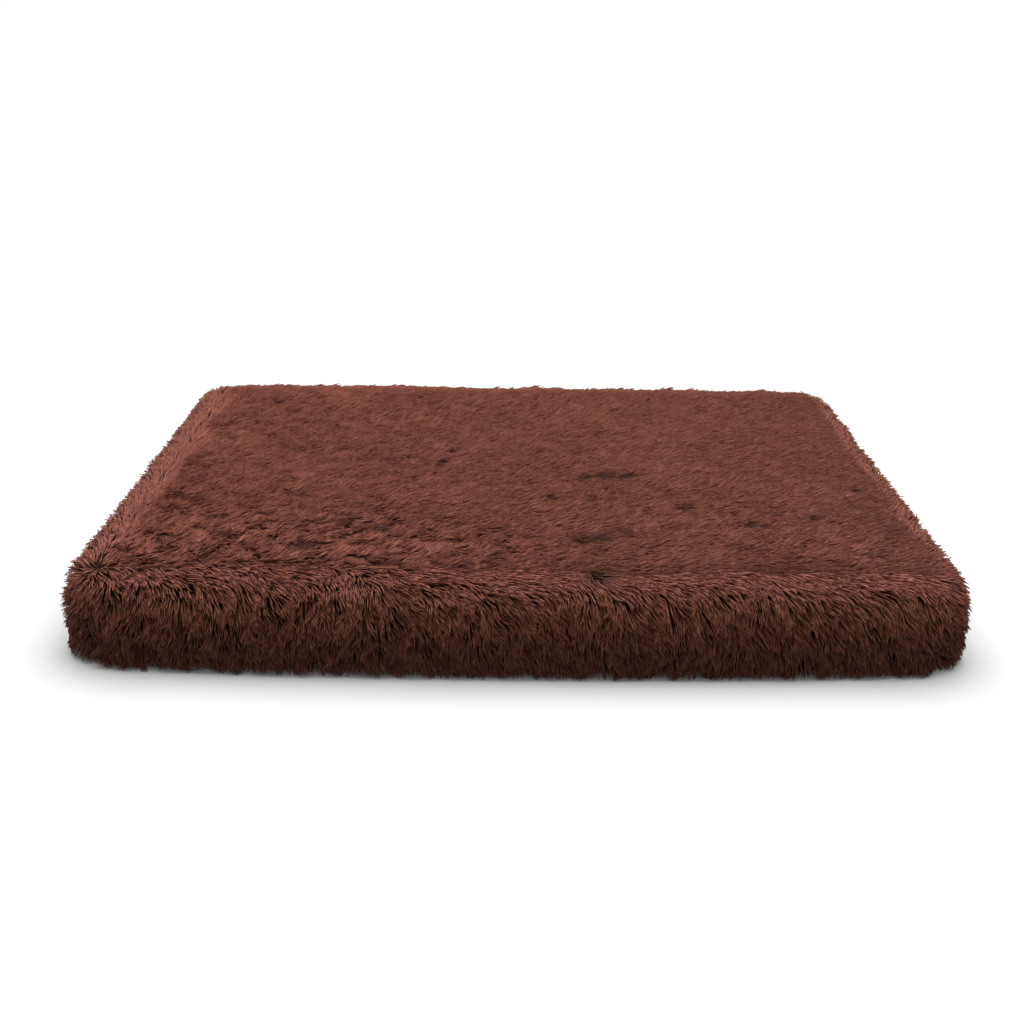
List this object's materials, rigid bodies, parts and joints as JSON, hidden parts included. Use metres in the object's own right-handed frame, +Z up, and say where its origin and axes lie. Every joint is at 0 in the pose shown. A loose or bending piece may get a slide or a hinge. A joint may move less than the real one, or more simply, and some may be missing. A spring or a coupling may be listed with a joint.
{
  "type": "pet cushion bed",
  "caption": "Rectangular foam pet mattress in a zip-off long-pile faux-fur cover, with a canvas base and a coil zip low on the back.",
  "frame": {"origin": "On the floor, under the middle of the bed's footprint", "axes": "+X along the long side, -Y is the front that faces the viewer, +Y is the back with the zip, +Z up"},
  "size_m": [0.9648, 0.7368, 0.1084],
  "materials": {
    "faux_fur": "long-pile polyester plush, soft sheen",
    "base_canvas": "plain-weave polyester canvas with grip dots underneath",
    "zip_tape": "narrow woven polyester tape",
    "zip_coil": "nylon monofilament coil",
    "zip_metal": "antique-plated die-cast zinc",
    "label_satin": "woven satin, blank",
    "liner_cloth": "plain lining cloth",
    "support_foam": "open-cell polyurethane foam",
    "comfort_foam": "convoluted open-cell polyurethane foam"
  },
  "bodies": {
    "cushion": {"top_fur_panel": "faux_fur", "front_fur_boxing": "faux_fur", "left_fur_boxing": "faux_fur", "right_fur_boxing": "faux_fur", "back_fur_strip": "faux_fur", "base_panel": "base_canvas", "back_lower_facing": "base_canvas", "upper_zip_tape": "zip_tape", "lower_zip_tape": "zip_tape", "upper_zip_coil": "zip_coil", "lower_zip_coil": "zip_coil", "upper_top_stop": "zip_metal", "lower_top_stop": "zip_metal", "bottom_stop": "zip_metal", "left_zip_end_tab": "base_canvas", "right_zip_end_tab": "base_canvas", "care_label": "label_satin", "liner_cover": "liner_cloth", "liner_base": "liner_cloth", "support_foam": "support_foam", "comfort_foam": "comfort_foam"},
    "zip_slider": {"zip_slider_body": "zip_metal"},
    "pull_tab": {"zip_pull_tab": "zip_metal"}
  },
  "joints": [
    {"name": "zip_slide", "type": "slide", "parent": "cushion", "child": "zip_slider", "axis": [-1, 0, 0], "range_m": [0, 0.69]},
    {"name": "pull_tab_hinge", "type": "hinge", "parent": "zip_slider", "child": "pull_tab", "pos_m": [0.345, 0.3526, 0.034], "axis": [0, 0, -1], "range_deg": [0, 178]}
  ]
}
